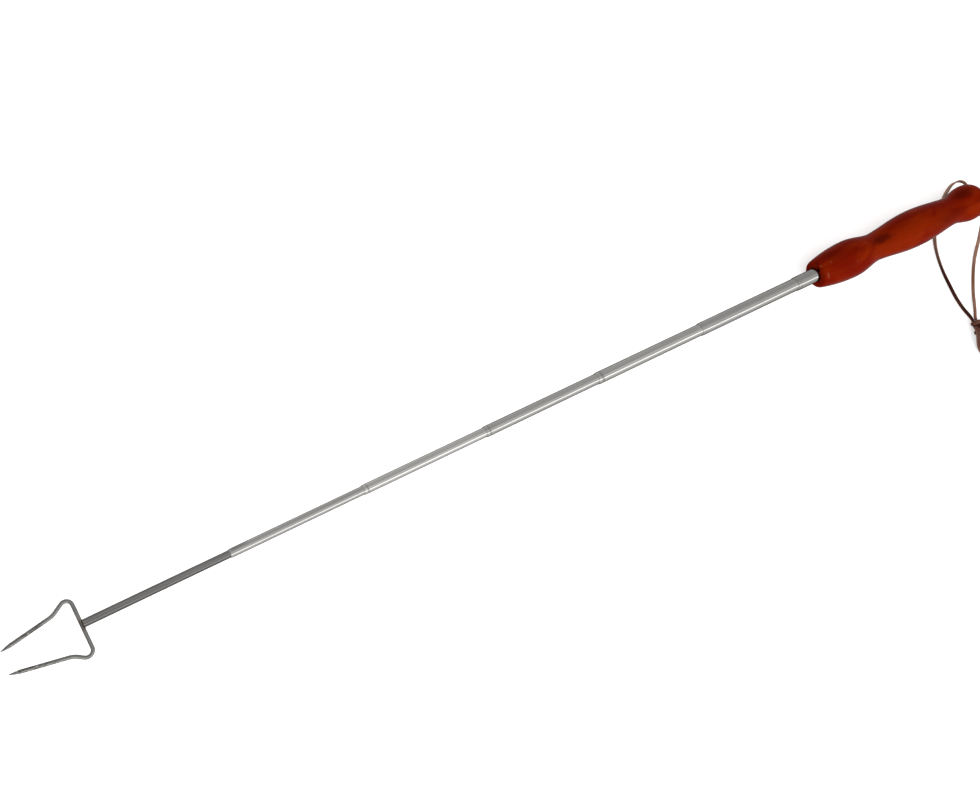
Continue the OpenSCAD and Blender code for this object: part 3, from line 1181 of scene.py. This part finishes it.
@dataclass
class Lace:
    """One stretch of the flat leather lace.

    Its route's points are (x from the handle's face, y, z above the ground, tilt in degrees),
    in millimetres, as in the part's source.
    """

    name: str
    node: str
    route: Sequence[tuple[float, float, float, float]]
    dyed_up: bool = True
    width: float = 3 * MM
    finish: Finish = field(default_factory=LaceLeather)
    between: int = 6

    def path(self) -> list[tuple[Vector, float]]:
        """The route as a smooth curve.

        Returns:
            (place, tilt in radians) of each ring.
        """
        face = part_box("handle_grip")[0].x
        knots = [
            (Vector((face + x * MM, y * MM, z * MM)), math.radians(tilt)) for x, y, z, tilt in self.route
        ]
        found = []
        for i in range(len(knots) - 1):
            around = [knots[max(0, min(j, len(knots) - 1))] for j in range(i - 1, i + 3)]
            for k in range(self.between):
                found.append(self._between(around, k / self.between))
        return [*found, knots[-1]]

    @staticmethod
    def _between(around: Sequence[tuple[Vector, float]], share: float) -> tuple[Vector, float]:
        """Args:
            around: the knots before, at, after and beyond a stretch.
            share: how far along the stretch.

        Returns:
            The curve's place and tilt there.
        """
        (a, ta), (b, tb), (c, tc), (d, td) = around
        s, s2, s3 = share, share**2, share**3
        weights = (
            (-s3 + 2 * s2 - s) / 2,
            (3 * s3 - 5 * s2 + 2) / 2,
            (-3 * s3 + 4 * s2 + s) / 2,
            (s3 - s2) / 2,
        )
        place = a * weights[0] + b * weights[1] + c * weights[2] + d * weights[3]
        tilt = ta * weights[0] + tb * weights[1] + tc * weights[2] + td * weights[3]
        return place, tilt

    def frames(self) -> list[LaceFrame]:
        """The lace's way, with its faces turned by the tilt."""
        path = self.path()
        frames = []
        for i, (place, tilt) in enumerate(path):
            ahead = (path[min(i + 1, len(path) - 1)][0] - path[max(i - 1, 0)][0]).normalized()
            side = ahead.cross(Z_AXIS).normalized()
            turn = Quaternion(ahead, tilt + (0 if self.dyed_up else math.pi))
            frames.append(LaceFrame(place, turn @ side, turn @ side.cross(ahead)))
        return frames

    def build(self) -> bpy.types.Object:
        """Sweeps the lace along its route.

        Returns:
            The lace.
        """
        lace = Modeller(self.name)
        lace.piece = LaceStrip(self.name, width=self.width).sweep(self.frames())
        lace.smooth(50)
        return lace.finish("handle", self.finish, self.node)

    def length(self) -> float:
        """The length of the route."""
        path = self.path()
        return sum((b[0] - a[0]).length for a, b in zip(path, path[1:]))


@dataclass
class Lanyard:
    """The lace through the ball: two strands, a knot and two tails."""

    front: Sequence[tuple[float, float, float, float]] = (
        (181, -12, 15.2, 90), (181, -6, 15.2, 90), (181, 0, 15.2, 90), (181, 6, 15.2, 90),
        (181, 12, 15.2, 90), (180.6, 15.5, 14.6, 90), (179.2, 18.3, 12.6, 90),
        (176.8, 19.2, 9.6, 85), (174, 18.4, 6.6, 70), (170.8, 16, 4, 45),
        (166.6, 12.6, 2, 15), (161, 8, 1, 0), (154, 2, 0.7, 0), (147, -4.6, 0.7, 0),
        (141, -11, 1.1, 20), (136.4, -18, 1.6, 65), (133.4, -26, 1.6, 85),
        (131.4, -35, 1.6, 90), (130.4, -45, 1.6, 80), (130.4, -56, 1.6, 60),
        (131, -67, 1.4, 45), (132, -77, 2.2, 35), (133, -84, 3.6, 20), (133.2, -88, 4.6, 10),
        (133.2, -90.5, 4.8, 0),
    )  # fmt: skip
    rear: Sequence[tuple[float, float, float, float]] = (
        (181, -12, 15.2, 90), (181, -14.5, 15.2, 90), (180.8, -18, 14.2, 85),
        (180.2, -22.5, 11.4, 70), (179, -27.6, 7.8, 50), (177, -33, 4.4, 30),
        (173.6, -38.6, 1.8, 10), (168.6, -44.6, 0.8, 0), (162.4, -52, 0.7, 0),
        (156.4, -60.6, 0.7, 0), (150.6, -70, 0.8, 0), (145.4, -78.6, 1.8, 0),
        (140.4, -84.6, 3.6, 0), (137.4, -88, 4.6, 0), (137, -90.5, 4.8, 0),
    )  # fmt: skip
    left_tail: Sequence[tuple[float, float, float, float]] = (
        (133.2, -105.5, 4.8, 0), (133.2, -108, 4.4, 0), (132.4, -112, 3, 10),
        (131.2, -117, 1.4, 15), (130.4, -124, 0.8, 0), (130.6, -132, 0.7, 0),
        (132, -140, 0.7, 0), (134.6, -148, 0.7, 0),
    )  # fmt: skip
    right_tail: Sequence[tuple[float, float, float, float]] = (
        (137, -105.5, 4.8, 0), (137, -108, 4.3, 0), (137.8, -112, 2.8, 0),
        (139.4, -117, 1.3, 0), (142, -123, 0.7, 0), (145.6, -129.6, 0.7, 0),
        (150.4, -136, 0.7, 0), (156, -141.6, 0.7, 0),
    )  # fmt: skip
    tucked_end: Sequence[tuple[float, float, float, float]] = (
        (132, -95, 6.6, 0), (130.4, -100, 6.4, -20), (129, -105, 5, -25),
        (128.4, -110, 3.2, -20), (129.4, -114.5, 1.7, -10), (131.8, -118.5, 0.9, 0),
        (135, -121, 0.8, 0),
    )  # fmt: skip
    tucked_apart: float = 2.9
    knot_finish: Finish = field(
        default_factory=lambda: LaceLeather(
            key="knot", suede=(0.11, 0.043, 0.03), pale=(0.2, 0.095, 0.07), edge=(0.2, 0.105, 0.075)
        )
    )

    def build(self) -> None:
        knot = self._knot()
        stretches = (
            Lace("front_strand", "lanyard_front_strand", self.front),
            Lace("rear_strand", "lanyard_rear_strand", self.rear, dyed_up=False),
            Lace("left_tail", "lanyard_tail_left", self.left_tail, dyed_up=False),
            Lace("right_tail", "lanyard_tail_right", self.right_tail),
        )
        for lace in stretches:
            piece = lace.build()
            path = [place for place, _ in lace.path()]
            round(lace.length(), 3)
            LOG.info("%s is %.1f mm long", lace.name, 1000 * lace.length())

    def _wound(
        self, name: str, start: float, turn: float, from_y: float, to_y: float, radius: float
    ) -> bpy.types.Object:
        """Winds a strip round the knot.

        Args:
            name: the strip's name.
            start: the angle where it starts, in degrees from straight up towards +X.
            turn: how far it goes round, in degrees.
            from_y: where it starts along the knot, from 0 at the ball's end to 1.
            to_y: where it ends.
            radius: how far from the knot's axis its middle runs.

        Returns:
            The strip, whose ends tuck in.
        """
        low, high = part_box("lanyard_knot")
        middle = (low + high) / 2
        rings = max(8, round(abs(turn) / 12))
        frames = []
        for i in range(rings + 1):
            share = i / rings
            angle = math.radians(start + turn * share)
            tuck = min(1.0, share * rings / 3, (1 - share) * rings / 3)
            out = Vector((math.sin(angle), 0, math.cos(angle)))
            y = high.y + (low.y - high.y) * (from_y + (to_y - from_y) * share)
            at = Vector((middle.x, y, middle.z)) + out * (radius - 1.6 * MM * (1 - tuck))
            ahead = Vector((math.cos(angle), 0, -math.sin(angle))) * math.radians(turn) * radius
            ahead.y = (low.y - high.y) * (to_y - from_y)
            frames.append(LaceFrame(at, ahead.normalized().cross(out), -out))
        return LaceStrip(name, edge=0.5 * MM).sweep(frames)

    def _knot(self) -> bpy.types.Object:
        """Winds the lace round itself over a core, with one turn crossing the others.

        Returns:
            The knot.
        """
        low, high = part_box("lanyard_knot")
        middle = (low + high) / 2
        outer = (high.x - low.x) / 2
        core = RingModeller("lace_knot", Vector((middle.x, high.y, middle.z)), -Y_AXIS, 2 * MM, 24)
        core.close()
        core.grow(1.5 * MM, outer - 1.5 * MM)
        core.grow(high.y - low.y - 5 * MM)
        core.grow(3.5 * MM, 2.2 * MM)
        core.close()
        core.done()
        for loop in core.piece.data.uv_layers.new(name="lace").data:
            loop.uv = (0, 0.25)
        winding = outer - 0.75 * MM
        wound = [
            self._wound("collar", 250, -400, 0.14, 0.1, winding - 0.5 * MM),
            self._wound("turns", 210, -560, 0.36, 0.8, winding),
            self._wound("crossing", -100, 190, 0.34, 0.9, winding + 0.6 * MM),
        ]
        for aside in (0, self.tucked_apart):
            route = [(x + aside, y, z, tilt) for x, y, z, tilt in self.tucked_end]
            wound.append(LaceStrip("tucked_end").sweep(Lace("", "", route, dyed_up=False).frames()))
        core.only(core.piece, *wound)
        bpy.ops.object.join()
        core.smooth(50)
        return core.finish("handle", self.knot_finish, "lanyard_knot")


@dataclass(frozen=True)
class LampPlan:
    """A long lamp over the stick, parallel to it.

    It leans from straight above towards +Y and spreads over an angle, both in degrees. Metal
    and diffuse surfaces each take their own share of it.
    """

    name: str
    lean: float
    spread: float
    radiance: float
    length: float
    diffuse: float
    metal: float
    away: float = 2.2


@dataclass
class Studio:
    """The floor, the lights and the camera."""

    camera_at: Vector = field(default_factory=lambda: Vector((-0.45374, 0, 0.86326)))
    camera_turn: tuple[float, float, float] = (11.865, -21.548, -27.545)
    lens: float = 50
    sensor: float = 36
    lamps_over: float = 0.8
    floor_at: float = -0.2 * MM
    paper: Colour = (0.8, 0.8, 0.8)
    paper_glow: float = 0.5
    room: float = 0.78
    lamps: tuple[LampPlan, ...] = (
        LampPlan("strip_lamp", -46, 15, 3.7, 5, 0.1, 1),
        LampPlan("panel_lamp", -69, 28, 0.85, 5, 0.4, 1),
        LampPlan("overhead_lamp", -12, 40, 0.45, 3, 1, 0),
    )

    def build(self) -> None:
        """Sets the colours' transform, the camera, the floor, the world and the lamps."""
        scene = bpy.context.scene
        scene.view_settings.view_transform = "Standard"
        self._camera(scene)
        self._floor()
        self._world(scene)
        for plan in self.lamps:
            self._lamp(plan)

    def _camera(self, scene: bpy.types.Scene) -> None:
        """Args:
        scene: the scene that gets the camera.
        """
        data = bpy.data.cameras.new("camera")
        data.lens = self.lens
        data.sensor_width = self.sensor
        data.clip_start = 0.01
        camera = bpy.data.objects.new("camera", data)
        camera.location = self.camera_at
        camera.rotation_euler = [math.radians(a) for a in self.camera_turn]
        scene.collection.objects.link(camera)
        scene.camera = camera

    @staticmethod
    def _seen(tree: ShaderTree) -> Socket:
        """Args:
            tree: the floor's or the world's tree.

        Returns:
            1 for what the camera, metal and glass show, and 0 for what lights the object.
        """
        rays = ("Is Camera Ray", "Is Glossy Ray", "Is Transmission Ray")
        camera, glossy, transmission = (tree.node("ShaderNodeLightPath", output=ray) for ray in rays)
        return camera + glossy + transmission

    def _floor(self) -> None:
        """A wide sheet of white paper, which shows white and keeps the shadow."""
        bpy.ops.object.select_all(action="DESELECT")
        bpy.ops.mesh.primitive_plane_add(size=40, location=(0, 0, self.floor_at))
        floor = bpy.context.active_object
        floor.name = "paper_floor"
        material = bpy.data.materials.new("paper")
        tree = ShaderTree(material)
        diffuse = tree.node("ShaderNodeBsdfDiffuse", {}, {"Color": (*self.paper, 1)})
        glow = tree.node("ShaderNodeEmission", {}, {"Strength": self._seen(tree) * self.paper_glow})
        shader = tree.node("ShaderNodeAddShader", {}, {0: diffuse, 1: glow})
        tree.node("ShaderNodeOutputMaterial", {}, {"Surface": shader})
        floor.data.materials.append(material)

    def _world(self, scene: bpy.types.Scene) -> None:
        """A white room, which lights the object a little less than it shows.

        Args:
            scene: the scene that gets the world.
        """
        world = bpy.data.worlds.new("studio")
        scene.world = world
        tree = ShaderTree(world)
        strength = self._seen(tree) * (1 - self.room) + self.room
        shader = tree.node("ShaderNodeBackground", {}, {"Color": (1, 1, 1, 1), "Strength": strength})
        tree.node("ShaderNodeOutputWorld", {}, {"Surface": shader})

    def _lamp(self, plan: LampPlan) -> None:
        """Hangs one lamp, facing the stick.

        Args:
            plan: its place, width and light.
        """
        data = bpy.data.lights.new(plan.name, "AREA")
        data.shape = "RECTANGLE"
        data.size = plan.length
        data.size_y = 2 * plan.away * math.tan(math.radians(plan.spread / 2))
        data.energy = plan.radiance * math.pi * data.size * data.size_y
        data.diffuse_factor = plan.diffuse
        data.specular_factor = plan.metal
        lamp = bpy.data.objects.new(plan.name, data)
        lean = math.radians(plan.lean)
        lamp.rotation_euler = (-lean, 0, 0)
        lamp.location = (self.lamps_over, plan.away * math.sin(lean), plan.away * math.cos(lean))
        bpy.context.scene.collection.objects.link(lamp)


def dress_bushes() -> None:
    """Gives the stop bushes, which keep their CAD shapes, their brass."""
    brass = BushBrass().material()
    for number in range(BUSHES):
        bush = bpy.data.objects[f"stop_bush_{number + 1}"]
        for place in bush.material_slots:
            place.material = brass


def main() -> None:
    """Builds the sub-assemblies in order."""
    logging.basicConfig(level=logging.INFO, format="%(message)s")
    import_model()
    Studio().build()
    LOG.info("studio set")
    Lanyard().build()
    LOG.info("lanyard made")
    Handle().build()
    LOG.info("handle turned")
    Stick().build()
    LOG.info("tubes drawn")
    Fork().build()
    LOG.info("fork bent and welded")
    dress_bushes()


if __name__ == "__main__":
    main()
